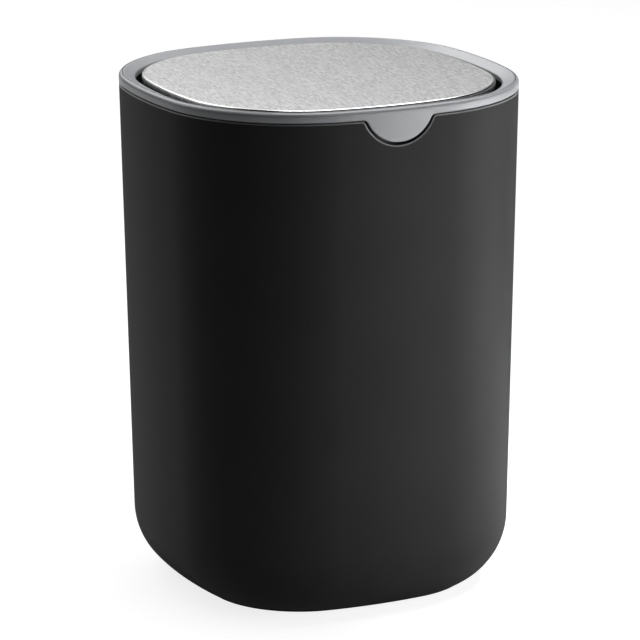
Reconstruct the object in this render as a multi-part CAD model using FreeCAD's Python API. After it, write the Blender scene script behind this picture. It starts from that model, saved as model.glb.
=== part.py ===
import FreeCAD, Part
import math
import os

# A desk bin: a shell on a soft foot, a rim that lifts off, and a weighted lid that swings in the rim.
# Millimetres. +Z is up, the finger tab faces -Y, and the origin is on the floor under the middle.

# The plan is a rounded square of tangent arcs, and the sides lean in a little towards the floor.
WIDTH = 170.0
HEIGHT = 232.0
CORNER_RADIUS = 65.5
SIDE_RADIUS = 212.0
DRAFT_DEGREES = 1.2
# How far in a wide flat piece goes over from its swept edge to its plain middle
CORE_SHARE = 0.8

# Shell: one wall thickness all over, with a large round between side and floor
WALL = 2.6
BASE_RADIUS = 33.0
BASE_TURN_DEGREES = 62.5
SHELL_OUTER_EDGE = 0.8
SHELL_INNER_EDGE = 0.4

# Foot ring, pressed into a groove in the underside of the shell
FOOT_HEIGHT = 1.0
FOOT_GROOVE = 1.0
FOOT_WIDTH = 7.0
FOOT_SETBACK = 1.2
FOOT_EDGE = 0.3

# Rim ring: a dished top with a raised outer crest, a channel for the collar and a short inner lip
RIM_HEIGHT = 4.15
RIM_SHADOW_GAP = 0.6
RIM_WIDTH = 7.5
RIM_CREST = 2.6
RIM_CREST_EDGE = 1.8
RIM_DISH = 2.15
RIM_INNER_EDGE = 0.8
RIM_LIP_DEPTH = 2.35
RIM_LIP_EDGE = 0.4
RIM_TOP = 2.6
RIM_SEAT_INSET = 1.3
RIM_LOWER_EDGE = 0.35

# Finger tab on the rim ring, and the notch for it in the shell
TAB_RADIUS = 16.8
TAB_DROP = 11.1
TAB_FILLET = 3.2
NOTCH_SIDE_GAP = 0.8
NOTCH_BOTTOM_GAP = 1.3
NOTCH_FILLET = 2.5

# Bag collar, which hangs in the shell from the channel of the rim ring
COLLAR_CLEARANCE = 0.7
COLLAR_WALL = 2.0
COLLAR_DEPTH = 34.0
COLLAR_EDGE = 0.5

# Grip band round the collar, which pinches the bag against the shell
BAND_HEIGHT = 4.0
BAND_RISE = 9.0
BAND_GROOVE = 0.8
BAND_PROUD = 0.35
BAND_EDGE = 0.15

# Bearings: half of each is a block on the collar, and the other half is a cap held by two screws
PIVOT_DROP = 9.6
BEARING_INSET = 9.4
BEARING_BORE_INSET = 6.0
BEARING_WIDTH = 18.0
BEARING_HALF_HEIGHT = 4.8
CAP_BACK_INSET = 6.3
BUSH_RADIUS = 3.2
BUSH_END_INSET = 6.5
BUSH_FLANGE_RADIUS = 4.3
BUSH_FLANGE = 0.7
CAP_SCREW_SPACING = 12.8
CAP_SCREW_INSET = 7.85
CAP_SCREW_RADIUS = 0.9
CAP_SCREW_CLEARANCE = 0.2
CAP_SCREW_LENGTH = 8.4
CAP_SCREW_HEAD_RADIUS = 1.5
CAP_SCREW_HEAD = 1.1

# Pivot pins, pressed into the lid carrier and running in the bushes
PIN_RADIUS = 2.0
PIN_RUNNING_GAP = 0.05
PIN_END_INSET = 6.7
PIN_LENGTH = 16.8

# Stop lugs at the foot of the collar, each with a soft bumper pushed over it
LUG_INSET = 14.5
LUG_WIDTH = 3.0
LUG_HEIGHT = 4.0
BUMPER_WALL = 1.0
BUMPER_LENGTH = 6.0

# Lid plate: a shallow pressed pan of sheet steel
LID_DROP = 0.8
LID_INSET = 10.5
PLATE_THICKNESS = 0.6
PLATE_FLANGE = 2.4
PLATE_EDGE = 1.0
PLATE_INNER_EDGE = 0.4

# Bonding pad between the plate and the carrier
PAD_THICKNESS = 0.4
PAD_SETBACK = 2.0

# Lid carrier: a tray with a skirt, ribs, two pin bosses and two posts
CARRIER_SETBACK = 0.4
CARRIER_PLATE_GAP = 0.1
CARRIER_FLANGE_GAP = 0.3
CARRIER_DECK = 2.0
CARRIER_SKIRT = 1.8
CARRIER_SKIRT_DROP = 5.2
CARRIER_SKIRT_EDGE = 0.4
PIN_BOSS_RADIUS = 4.2
PIN_BOSS_LENGTH = 13.0
PIN_BOSS_WEB = 2.0
RIB_THICKNESS = 1.6
RIB_DEPTH = 5.0
RIB_SPACING = 52.0
POST_RADIUS = 4.0
POST_SPACING = 76.0

# Counterweight, screwed to the posts from below
WEIGHT_LENGTH = 110.0
WEIGHT_WIDTH = 16.0
WEIGHT_HEIGHT = 9.0
WEIGHT_DROP = 13.0
WEIGHT_CORNER = 3.0
WEIGHT_EDGE = 0.6
WEIGHT_SCREW_RADIUS = 1.4
WEIGHT_SCREW_CLEARANCE = 0.3
WEIGHT_SCREW_GRIP = 12.0
WEIGHT_SCREW_HEAD_RADIUS = 2.9
WEIGHT_SCREW_HEAD = 1.8

# Cross recess in a screw head, as shares of the head
RECESS_DEPTH_SHARE = 0.6
RECESS_LENGTH_SHARE = 1.2
RECESS_WIDTH_SHARE = 0.3

# Levels and lines that follow from the sizes above
HALF_WIDTH = WIDTH / 2
CORE_INSET = CORNER_RADIUS * CORE_SHARE
DRAFT = math.radians(DRAFT_DEGREES)
BASE_TURN = math.radians(BASE_TURN_DEGREES)
RIM_LOW = HEIGHT - RIM_HEIGHT
SHELL_TOP = RIM_LOW - RIM_SHADOW_GAP
CHANNEL_TOP = HEIGHT - RIM_TOP
LIP_LOW = HEIGHT - RIM_DISH - RIM_LIP_DEPTH
TAB_CENTRE = RIM_LOW - TAB_DROP + TAB_RADIUS
FOOT_TOP = FOOT_HEIGHT + FOOT_GROOVE
COLLAR_LOW = RIM_LOW - COLLAR_DEPTH
BAND_LOW = COLLAR_LOW + BAND_RISE
BAND_HIGH = BAND_LOW + BAND_HEIGHT
PIVOT = HEIGHT - PIVOT_DROP
CAP_LOW = PIVOT - BEARING_HALF_HEIGHT
LUG_HIGH = COLLAR_LOW + LUG_HEIGHT
LID_TOP = HEIGHT - LID_DROP
PLATE_LOW = LID_TOP - PLATE_THICKNESS
PLATE_INNER = LID_INSET + PLATE_THICKNESS
DECK_TOP = PLATE_LOW - PAD_THICKNESS
DECK_LOW = DECK_TOP - CARRIER_DECK
SKIRT_INSET = LID_INSET + CARRIER_SETBACK
SKIRT_INNER = SKIRT_INSET + CARRIER_SKIRT
SKIRT_LOW = PIVOT - CARRIER_SKIRT_DROP
WEIGHT_TOP = PIVOT - WEIGHT_DROP
WEIGHT_LOW = WEIGHT_TOP - WEIGHT_HEIGHT

# Two points nearer than SAME_POINT are the same, and an edge nearer than ON_SKIN lies on the outside.
SAME_POINT = 1e-6
ON_SKIN = 1e-3

Vector = FreeCAD.Vector
X_AXIS = Vector(1, 0, 0)
Z_AXIS = Vector(0, 0, 1)


def skin(z):
    """Inset of the leaning outer surface at a height."""
    return (HEIGHT - z) * math.tan(DRAFT)


def inner_wall(z):
    """Inset of the inside of the shell wall at a height."""
    return skin(z) + WALL / math.cos(DRAFT)


def collar_outer(z):
    """Inset of the outside of the bag collar at a height."""
    return inner_wall(z) + COLLAR_CLEARANCE


def collar_inner(z):
    """Inset of the inside of the bag collar at a height."""
    return collar_outer(z) + COLLAR_WALL


def corner_offset():
    """Distance of a corner arc's centre from the middle, along X and along Y."""
    beyond = SIDE_RADIUS - HALF_WIDTH
    diagonal = 2 * (SIDE_RADIUS - CORNER_RADIUS) ** 2 - beyond ** 2
    return (math.sqrt(diagonal) - beyond) / 2


def side_half_angle():
    """Half the angle that a side arc spans."""
    offset = corner_offset()
    return math.atan2(offset, offset + SIDE_RADIUS - HALF_WIDTH)


def plan_arcs():
    """The arcs of the plan, anticlockwise from the front: centre, radius, start and end angle."""
    beyond = SIDE_RADIUS - HALF_WIDTH
    offset = corner_offset()
    half = side_half_angle()
    arcs = []
    for quarter in range(4):
        middle = (quarter - 1) * math.pi / 2
        outward = Vector(math.cos(middle), math.sin(middle), 0)
        across = Vector(-math.sin(middle), math.cos(middle), 0)
        arcs.append((outward * -beyond, SIDE_RADIUS, middle - half, middle + half))
        corner = (outward + across) * offset
        arcs.append((corner, CORNER_RADIUS, middle + half, middle + math.pi / 2 - half))
    return arcs


def plan_point(arc, inset, angle, z):
    """Point on one arc of the plan, at an inset and a height."""
    centre, radius, start, end = arc
    reach = radius - inset
    return Vector(centre.x + reach * math.cos(angle), centre.y + reach * math.sin(angle), z)


def inset_at(point):
    """Inset of a point from the plan's outline."""
    beyond = SIDE_RADIUS - HALF_WIDTH
    offset = corner_offset()
    near = min(abs(point.x), abs(point.y))
    far = max(abs(point.x), abs(point.y))
    if math.atan2(near, far + beyond) <= side_half_angle():
        return SIDE_RADIUS - math.hypot(near, far + beyond)
    return CORNER_RADIUS - math.hypot(near - offset, far - offset)


def rounded_corner(before, corner, after, radius):
    """Start, middle and end of the arc that rounds a corner."""
    back = (before - corner).normalize()
    ahead = (after - corner).normalize()
    half = math.acos(back.dot(ahead)) / 2
    reach = radius / math.tan(half)
    depth = radius / math.sin(half) - radius
    return corner + back * reach, corner + (back + ahead).normalize() * depth, corner + ahead * reach


def profile_face(profile, arc):
    """Upright face at the start of an arc, from corners given as inset, height and rounding."""
    flat = [Vector(inset, z, 0) for inset, z, rounding in profile]
    bends = []
    for index, (inset, z, rounding) in enumerate(profile):
        corner = flat[index]
        after = flat[(index + 1) % len(flat)]
        if rounding > 0:
            bends.append(rounded_corner(flat[index - 1], corner, after, rounding))
        else:
            bends.append((corner, corner, corner))

    def placed(point):
        return plan_point(arc, point.x, arc[2], point.y)

    edges = []
    for index, (start, middle, end) in enumerate(bends):
        last = bends[index - 1][2]
        if (start - last).Length > SAME_POINT:
            edges.append(Part.LineSegment(placed(last), placed(start)).toShape())
        if (end - start).Length > SAME_POINT:
            edges.append(Part.Arc(placed(start), placed(middle), placed(end)).toShape())
    return Part.Face(Part.Wire(edges))


def joined(first, *others):
    """One solid from touching solids."""
    return first.multiFuse(list(others)).removeSplitter().Solids[0]


def swept(profile):
    """A profile swept all the way round the plan, arc by arc."""
    pieces = []
    for arc in plan_arcs():
        centre, radius, start, end = arc
        face = profile_face(profile, arc)
        pieces.append(face.revolve(centre, Z_AXIS, math.degrees(end - start)))
    return joined(*pieces)


def slab(inset, low, high):
    """Flat piece with the outline of the plan at an inset."""
    edges = []
    for arc in plan_arcs():
        start, end = arc[2], arc[3]
        ends = [plan_point(arc, inset, angle, low) for angle in (start, (start + end) / 2, end)]
        edges.append(Part.Arc(*ends).toShape())
    return Part.Face(Part.Wire(edges)).extrude(Z_AXIS * (high - low))


def rod(radius, outer_inset, inner_inset):
    """Round bar on the pivot line at the right, between two insets."""
    start = Vector(HALF_WIDTH - inner_inset, 0, PIVOT)
    return Part.makeCylinder(radius, inner_inset - outer_inset, start, X_AXIS)


def block(outer_inset, inner_inset, width, low, high):
    """Box at the right, between two insets and across the pivot line."""
    start = Vector(HALF_WIDTH - inner_inset, -width / 2, low)
    return Part.makeBox(inner_inset - outer_inset, width, high - low, start)


def mirrored(shape):
    """The same piece on the left."""
    return shape.mirror(Vector(0, 0, 0), X_AXIS)


def screw(x, y, seat, radius, length, head_radius, head):
    """Screw that points up from the face its head bears on, with a cross recess."""
    shank = Part.makeCylinder(radius, length, Vector(x, y, seat))
    body = shank.fuse(Part.makeCylinder(head_radius, head, Vector(x, y, seat - head)))
    long_side = head_radius * RECESS_LENGTH_SHARE
    short_side = head_radius * RECESS_WIDTH_SHARE
    depth = head * RECESS_DEPTH_SHARE
    for along, across in ((long_side, short_side), (short_side, long_side)):
        start = Vector(x - along / 2, y - across / 2, seat - head)
        body = body.cut(Part.makeBox(along, across, depth, start))
    return body.removeSplitter().Solids[0]


def tab_prism(radius, centre, line, fillet, top):
    """Upright prism through the front: a round tab that flows into a level line by two fillets."""
    reach = math.sqrt((radius + fillet) ** 2 - (centre - line + fillet) ** 2)
    share = radius / (radius + fillet)
    meet_x = reach * share
    meet_z = centre + (line - fillet - centre) * share
    front = -HALF_WIDTH - WALL

    def point(x, z):
        return Vector(x, front, z)

    def fillet_arc(side):
        middle = point(side * reach, line - fillet)
        towards = (point(side * meet_x, meet_z) - middle).normalize()
        waist = middle + (Z_AXIS + towards).normalize() * fillet
        return Part.Arc(point(side * reach, line), waist, point(side * meet_x, meet_z)).toShape()

    bottom = Part.Arc(point(-meet_x, meet_z), point(0, centre - radius), point(meet_x, meet_z))
    edges = [
        fillet_arc(-1),
        bottom.toShape(),
        fillet_arc(1),
        Part.LineSegment(point(reach, line), point(reach, top)).toShape(),
        Part.LineSegment(point(reach, top), point(-reach, top)).toShape(),
        Part.LineSegment(point(-reach, top), point(-reach, line)).toShape(),
    ]
    return Part.Face(Part.Wire(edges)).extrude(Vector(0, WALL + RIM_WIDTH, 0))


def skin_edges(shape, lowest, highest):
    """Edges of a shape that lie on the outer surface, between two heights."""
    found = []
    for edge in shape.Edges:
        box = edge.BoundBox
        if box.ZMin < lowest - SAME_POINT or box.ZMax > highest + SAME_POINT:
            continue
        points = edge.discretize(3)
        if all(abs(inset_at(point) - skin(point.z)) < ON_SKIN for point in points):
            found.append(edge)
    return found


def base_line():
    """Centre of the large round at the floor, as inset and height."""
    height = FOOT_HEIGHT + BASE_RADIUS * math.sin(BASE_TURN)
    return skin(height) + BASE_RADIUS / math.cos(DRAFT), height


def base_round(radius):
    """Corner that the round replaces, and the point where the round ends."""
    inset, height = base_line()
    middle = (BASE_TURN + DRAFT) / 2
    reach = radius / math.cos((BASE_TURN - DRAFT) / 2)
    corner = (inset - reach * math.cos(middle), height - reach * math.sin(middle))
    end = (inset - radius * math.cos(BASE_TURN), height - radius * math.sin(BASE_TURN))
    return corner, end


def foot_outer():
    """Inset of the outer side of the foot ring."""
    corner, end = base_round(BASE_RADIUS)
    return end[0] + FOOT_SETBACK


def body_shell():
    outer_corner, outer_end = base_round(BASE_RADIUS)
    inner_corner, inner_end = base_round(BASE_RADIUS - WALL)
    foot = foot_outer()
    profile = [
        (skin(SHELL_TOP), SHELL_TOP, 0),
        (*outer_corner, BASE_RADIUS),
        (*outer_end, 0),
        (foot, FOOT_HEIGHT, 0),
        (foot, FOOT_TOP, 0),
        (foot + FOOT_WIDTH, FOOT_TOP, 0),
        (foot + FOOT_WIDTH, FOOT_HEIGHT, 0),
        (CORE_INSET, FOOT_HEIGHT, 0),
        (CORE_INSET, inner_end[1], 0),
        (*inner_end, 0),
        (*inner_corner, BASE_RADIUS - WALL),
        (inner_wall(SHELL_TOP), SHELL_TOP, SHELL_INNER_EDGE),
    ]
    shell = joined(swept(profile), slab(CORE_INSET, FOOT_HEIGHT, inner_end[1]))
    radius = TAB_RADIUS + NOTCH_SIDE_GAP
    centre = TAB_CENTRE + NOTCH_SIDE_GAP - NOTCH_BOTTOM_GAP
    shell = shell.cut(tab_prism(radius, centre, SHELL_TOP, NOTCH_FILLET, HEIGHT))
    edges = skin_edges(shell, centre - radius, SHELL_TOP)
    return shell.makeFillet(SHELL_OUTER_EDGE, edges).Solids[0]


def foot_ring():
    outer = foot_outer()
    return swept([
        (outer, FOOT_TOP, 0),
        (outer, 0, FOOT_EDGE),
        (outer + FOOT_WIDTH, 0, FOOT_EDGE),
        (outer + FOOT_WIDTH, FOOT_TOP, 0),
    ])


def rim_ring():
    channel_outer = collar_outer(RIM_LOW)
    channel_inner = collar_inner(RIM_LOW)
    ring = swept([
        (skin(RIM_LOW), RIM_LOW, 0),
        (skin(HEIGHT), HEIGHT, RIM_CREST_EDGE),
        (RIM_CREST, HEIGHT, RIM_CREST_EDGE),
        (RIM_WIDTH, HEIGHT - RIM_DISH, RIM_INNER_EDGE),
        (RIM_WIDTH, LIP_LOW, RIM_LIP_EDGE),
        (channel_inner, LIP_LOW, 0),
        (channel_inner, CHANNEL_TOP, 0),
        (channel_outer, CHANNEL_TOP, 0),
        (channel_outer, SHELL_TOP, 0),
        (RIM_SEAT_INSET, SHELL_TOP, 0),
        (RIM_SEAT_INSET, RIM_LOW, 0),
    ])
    tab_low = TAB_CENTRE - TAB_RADIUS
    band_low = tab_low - WALL
    band = swept([
        (skin(CHANNEL_TOP), CHANNEL_TOP, 0),
        (skin(band_low), band_low, 0),
        (inner_wall(band_low), band_low, 0),
        (inner_wall(CHANNEL_TOP), CHANNEL_TOP, 0),
    ])
    tab = band.common(tab_prism(TAB_RADIUS, TAB_CENTRE, RIM_LOW, TAB_FILLET, CHANNEL_TOP))
    ring = joined(ring, tab)
    return ring.makeFillet(RIM_LOWER_EDGE, skin_edges(ring, tab_low, RIM_LOW)).Solids[0]


def bag_collar():
    groove_high = collar_outer(BAND_HIGH)
    groove_low = collar_outer(BAND_LOW)
    wall = swept([
        (collar_outer(RIM_LOW), CHANNEL_TOP, 0),
        (collar_outer(RIM_LOW), RIM_LOW, 0),
        (groove_high, BAND_HIGH, 0),
        (groove_high + BAND_GROOVE, BAND_HIGH, 0),
        (groove_low + BAND_GROOVE, BAND_LOW, 0),
        (groove_low, BAND_LOW, 0),
        (collar_outer(COLLAR_LOW), COLLAR_LOW, COLLAR_EDGE),
        (collar_inner(COLLAR_LOW), COLLAR_LOW, COLLAR_EDGE),
        (collar_inner(RIM_LOW), RIM_LOW, 0),
        (collar_inner(RIM_LOW), CHANNEL_TOP, 0),
    ])
    wall_middle = collar_outer(COLLAR_LOW) + COLLAR_WALL / 2
    bearing = block(wall_middle, BEARING_INSET, BEARING_WIDTH, PIVOT, PIVOT + BEARING_HALF_HEIGHT)
    bearing = bearing.cut(rod(BUSH_RADIUS, BEARING_BORE_INSET, LID_INSET))
    lug_low = COLLAR_LOW + COLLAR_EDGE
    lug = block(wall_middle, LUG_INSET, LUG_WIDTH, lug_low, LUG_HIGH)
    collar = joined(wall, bearing, lug, mirrored(bearing), mirrored(lug))
    return collar.cut(cap_screws(0)).Solids[0]


def grip_band():
    return swept([
        (collar_outer(BAND_HIGH) - BAND_PROUD, BAND_HIGH, BAND_EDGE),
        (collar_outer(BAND_LOW) - BAND_PROUD, BAND_LOW, BAND_EDGE),
        (collar_outer(BAND_LOW) + BAND_GROOVE, BAND_LOW, 0),
        (collar_outer(BAND_HIGH) + BAND_GROOVE, BAND_HIGH, 0),
    ])


def cap_screws(gap):
    """The screws of both bearing caps, or the holes for them with a gap."""
    screws = []
    for side in (-1, 1):
        for end in (-1, 1):
            x = side * (HALF_WIDTH - CAP_SCREW_INSET)
            y = end * CAP_SCREW_SPACING / 2
            screws.append(screw(
                x, y, CAP_LOW,
                CAP_SCREW_RADIUS + gap, CAP_SCREW_LENGTH,
                CAP_SCREW_HEAD_RADIUS, CAP_SCREW_HEAD,
            ))
    return Part.makeCompound(screws)


def bearing_cap():
    cap = block(CAP_BACK_INSET, BEARING_INSET, BEARING_WIDTH, CAP_LOW, PIVOT)
    cap = cap.cut(rod(BUSH_RADIUS, BEARING_BORE_INSET, LID_INSET))
    return cap.cut(cap_screws(CAP_SCREW_CLEARANCE)).Solids[0]


def pivot_bush():
    bush = rod(BUSH_RADIUS, BUSH_END_INSET, BEARING_INSET)
    bush = bush.fuse(rod(BUSH_FLANGE_RADIUS, BEARING_INSET, BEARING_INSET + BUSH_FLANGE))
    return bush.cut(rod(PIN_RADIUS + PIN_RUNNING_GAP, BEARING_BORE_INSET, LUG_INSET)).Solids[0]


def pivot_pin():
    return rod(PIN_RADIUS, PIN_END_INSET, PIN_END_INSET + PIN_LENGTH)


def lid_bumper():
    width = LUG_WIDTH + 2 * BUMPER_WALL
    low = COLLAR_LOW + COLLAR_EDGE
    end = LUG_INSET + BUMPER_WALL
    bumper = block(end - BUMPER_LENGTH, end, width, low - BUMPER_WALL, LUG_HIGH + BUMPER_WALL)
    return bumper.cut(block(0, LUG_INSET, LUG_WIDTH, low, LUG_HIGH)).Solids[0]


def lid_plate():
    edge = swept([
        (LID_INSET, LID_TOP, PLATE_EDGE),
        (LID_INSET, LID_TOP - PLATE_FLANGE, 0),
        (PLATE_INNER, LID_TOP - PLATE_FLANGE, 0),
        (PLATE_INNER, PLATE_LOW, PLATE_INNER_EDGE),
        (CORE_INSET, PLATE_LOW, 0),
        (CORE_INSET, LID_TOP, 0),
    ])
    return joined(edge, slab(CORE_INSET, PLATE_LOW, LID_TOP))


def plate_bonding_pad():
    return slab(LID_INSET + PAD_SETBACK, DECK_TOP, PLATE_LOW)


def carrier_ribs():
    """Crossed ribs under the deck, cut off inside the skirt."""
    low = DECK_LOW - RIB_DEPTH
    inside = slab(SKIRT_INNER - CARRIER_SKIRT / 2, low, DECK_LOW)
    ribs = []
    for side in (-1, 1):
        start = side * RIB_SPACING / 2 - RIB_THICKNESS / 2
        across = Part.makeBox(WIDTH, RIB_THICKNESS, RIB_DEPTH, Vector(-HALF_WIDTH, start, low))
        along = Part.makeBox(RIB_THICKNESS, WIDTH, RIB_DEPTH, Vector(start, -HALF_WIDTH, low))
        ribs.extend([across.common(inside), along.common(inside)])
    return ribs


def weight_screws(gap):
    """The counterweight's screws, or the holes for them with a gap."""
    length = WEIGHT_HEIGHT + WEIGHT_SCREW_GRIP
    screws = []
    for side in (-1, 1):
        screws.append(screw(
            side * POST_SPACING / 2, 0, WEIGHT_LOW,
            WEIGHT_SCREW_RADIUS + gap, length,
            WEIGHT_SCREW_HEAD_RADIUS, WEIGHT_SCREW_HEAD,
        ))
    return Part.makeCompound(screws)


def lid_carrier():
    flange_low = LID_TOP - PLATE_FLANGE - CARRIER_FLANGE_GAP
    inside_flange = PLATE_INNER + CARRIER_PLATE_GAP
    tray = swept([
        (SKIRT_INNER, SKIRT_LOW, CARRIER_SKIRT_EDGE),
        (SKIRT_INSET, SKIRT_LOW, CARRIER_SKIRT_EDGE),
        (SKIRT_INSET, flange_low, 0),
        (inside_flange, flange_low, 0),
        (inside_flange, DECK_TOP, PLATE_INNER_EDGE),
        (CORE_INSET, DECK_TOP, 0),
        (CORE_INSET, DECK_LOW, 0),
        (SKIRT_INNER, DECK_LOW, CARRIER_SKIRT_EDGE),
    ])
    pieces = [slab(CORE_INSET, DECK_LOW, DECK_TOP)] + carrier_ribs()
    boss_start = SKIRT_INSET + CARRIER_SKIRT / 2
    boss_end = SKIRT_INSET + PIN_BOSS_LENGTH
    boss = rod(PIN_BOSS_RADIUS, boss_start, boss_end)
    web = block(boss_start, boss_end, PIN_BOSS_WEB, PIVOT, DECK_LOW)
    boss = boss.fuse(web)
    pieces.extend([boss, mirrored(boss)])
    for side in (-1, 1):
        start = Vector(side * POST_SPACING / 2, 0, WEIGHT_TOP)
        pieces.append(Part.makeCylinder(POST_RADIUS, DECK_LOW - WEIGHT_TOP, start))
    carrier = joined(tray, *pieces)
    bore = rod(PIN_RADIUS, PIN_END_INSET, boss_end + PIN_BOSS_WEB)
    carrier = carrier.cut(bore).cut(mirrored(bore))
    return carrier.cut(weight_screws(0)).Solids[0]


def counterweight():
    start = Vector(-WEIGHT_LENGTH / 2, -WEIGHT_WIDTH / 2, WEIGHT_LOW)
    bar = Part.makeBox(WEIGHT_LENGTH, WEIGHT_WIDTH, WEIGHT_HEIGHT, start)
    upright = [edge for edge in bar.Edges if edge.BoundBox.ZLength > WEIGHT_HEIGHT / 2]
    bar = bar.makeFillet(WEIGHT_CORNER, upright)
    level = [edge for edge in bar.Edges if edge.BoundBox.ZLength < WEIGHT_HEIGHT / 2]
    bar = bar.makeChamfer(WEIGHT_EDGE, level)
    return bar.cut(weight_screws(WEIGHT_SCREW_CLEARANCE)).Solids[0]


parts = {
    "body_shell": body_shell(),
    "foot_ring": foot_ring(),
    "rim_ring": rim_ring(),
    "bag_collar": bag_collar(),
    "grip_band": grip_band(),
    "bearing_cap_right": bearing_cap(),
    "bearing_cap_left": mirrored(bearing_cap()),
    "bearing_screws": cap_screws(0),
    "pivot_bush_right": pivot_bush(),
    "pivot_bush_left": mirrored(pivot_bush()),
    "lid_bumper_right": lid_bumper(),
    "lid_bumper_left": mirrored(lid_bumper()),
    "lid_plate": lid_plate(),
    "plate_bonding_pad": plate_bonding_pad(),
    "lid_carrier": lid_carrier(),
    "pivot_pin_right": pivot_pin(),
    "pivot_pin_left": mirrored(pivot_pin()),
    "counterweight": counterweight(),
    "counterweight_screws": weight_screws(0),
}

os.makedirs("parts", exist_ok=True)
for name, shape in parts.items():
    shape.exportStep("parts/" + name + ".step")
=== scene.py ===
import math
import bmesh
import bpy
from mathutils import Matrix, Vector


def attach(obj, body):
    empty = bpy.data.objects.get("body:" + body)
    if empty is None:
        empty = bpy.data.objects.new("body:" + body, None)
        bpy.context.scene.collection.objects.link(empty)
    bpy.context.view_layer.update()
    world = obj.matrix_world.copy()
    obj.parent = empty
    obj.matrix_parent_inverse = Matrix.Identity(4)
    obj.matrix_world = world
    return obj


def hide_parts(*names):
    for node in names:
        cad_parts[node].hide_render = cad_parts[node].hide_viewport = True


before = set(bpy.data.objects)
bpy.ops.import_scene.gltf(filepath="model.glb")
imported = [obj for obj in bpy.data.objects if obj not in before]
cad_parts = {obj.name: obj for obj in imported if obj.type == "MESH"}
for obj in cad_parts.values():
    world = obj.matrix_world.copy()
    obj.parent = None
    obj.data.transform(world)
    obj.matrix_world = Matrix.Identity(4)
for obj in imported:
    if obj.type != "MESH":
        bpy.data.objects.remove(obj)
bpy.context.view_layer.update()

# Body shell: the bucket of the bin, black plastic, injection moulded in one piece with a slight draft.
# Its plan is a rounded square of tangent arcs, and a large round takes the sides into the floor.
# A notch in the front of the top edge takes the rim's finger tab. Sizes are in millimetres.
MM = 0.001
FRONT = -math.pi / 2
HALF_WIDTH = 85.0
HEIGHT = 232.0
CORNER_RADIUS = 65.5
SIDE_RADIUS = 212.0
DRAFT = math.radians(1.2)
WALL = 2.6
BASE_RADIUS = 33.0
BASE_TURN = math.radians(62.5)
BASE_STEPS = 24
SHELL_TOP = 227.25
SHELL_OUTER_EDGE = 0.8
SHELL_INNER_EDGE = 0.4
EDGE_STEPS = 5
FOOT_HEIGHT = 1.0
FOOT_TOP = 2.0
FOOT_OUTER = 23.2
FOOT_WIDTH = 7.0
NOTCH_RADIUS = 17.6
NOTCH_CENTRE = 233.05
NOTCH_FILLET = 2.5
CALM_DEPTH = 1.3
CALM_LEVEL = 196.0
CALM_SHARES = (0.0, 0.05, 0.12, 0.22, 0.36, 0.54, 0.76, 1.0)
WALL_LEVELS = (170.0, 140.0, 110.0, 80.0, 55.0, 40.0)
MIDDLE_INSETS = (45.0, 60.0)
SHARPEST_SMOOTH = math.radians(35.0)


def skin(height):
    """Inset of the leaning outer face from the plan's outline."""
    return (HEIGHT - height) * math.tan(DRAFT)


def inner_wall(height):
    """Inset of the inside of the shell wall."""
    return skin(height) + WALL / math.cos(DRAFT)


def tab_outline(radius, centre, line, fillet, arc_steps=30, fillet_steps=10):
    """A round tab that flows into a level line: x, height and the lean of its edge, left to right."""
    lean = math.acos((centre - line + fillet) / (radius + fillet))
    reach = (radius + fillet) * math.sin(lean)
    right = []
    for step in range(arc_steps + 1):
        turn = lean * step / arc_steps
        right.append((radius * math.sin(turn), centre - radius * math.cos(turn), turn))
    for step in range(1, fillet_steps + 1):
        turn = lean * (1 - step / fillet_steps)
        right.append((reach - fillet * math.sin(turn), line - fillet + fillet * math.cos(turn), turn))
    left = [(-x, height, -turn) for x, height, turn in reversed(right[1:])]
    return left + right


def edge_columns(outline, line, step=math.radians(1.0)):
    """Columns round the whole plan: the outline at the front, then an even walk round the rest."""
    reach = math.asin(outline[-1][0] / SIDE_RADIUS)
    columns = []
    for index, (x, height, lean) in enumerate(outline):
        even = reach * (2 * index / (len(outline) - 1) - 1)
        columns.append((x, height, lean, FRONT + even))
    count = round((2 * math.pi - 2 * reach) / step)
    for index in range(1, count):
        turn = FRONT + reach + (2 * math.pi - 2 * reach) * index / count
        columns.append((None, line, 0.0, turn))
    return columns


def edge_row(columns, depth, face, extra=0.0):
    """One row that keeps a depth from the edge, on a face whose inset follows its height."""
    row = []
    for x, height, lean, turn in columns:
        level = height - depth * math.cos(lean)
        inset = face(level) + extra
        if x is not None:
            turn = FRONT + math.asin((x + depth * math.sin(lean)) / (SIDE_RADIUS - inset))
        row.append((turn, inset, level))
    return row


def calmed(row, columns, level, share, face):
    """A row that goes over, by a share, from the shape of the edge to a level line."""
    calm = []
    for (turn, _, height), (_, _, _, even) in zip(row, columns):
        here = height + (level - height) * share
        calm.append((turn + (even - turn) * share, face(here), here))
    return calm


def level_rows(columns, profile):
    """Level rows from a profile of insets and heights."""
    return [[(column[3], inset, height) for column in columns] for inset, height in profile]


def base_arc(radius, steps):
    """The large round between side and floor, from the side down, as insets and heights."""
    height = FOOT_HEIGHT + BASE_RADIUS * math.sin(BASE_TURN)
    inset = skin(height) + BASE_RADIUS / math.cos(DRAFT)
    points = []
    for step in range(steps + 1):
        turn = DRAFT + (BASE_TURN - DRAFT) * step / steps
        points.append((inset - radius * math.cos(turn), height - radius * math.sin(turn)))
    return points


def joined_node(tree, kind, inputs, **settings):
    """A node with its settings made, and each input set to a value or joined to another node's output."""
    made = tree.nodes.new(kind)
    for setting, value in settings.items():
        setattr(made, setting, value)
    for key, value in inputs.items():
        if isinstance(value, bpy.types.NodeSocket):
            tree.links.new(value, made.inputs[key])
        else:
            made.inputs[key].default_value = value
    return made


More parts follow.
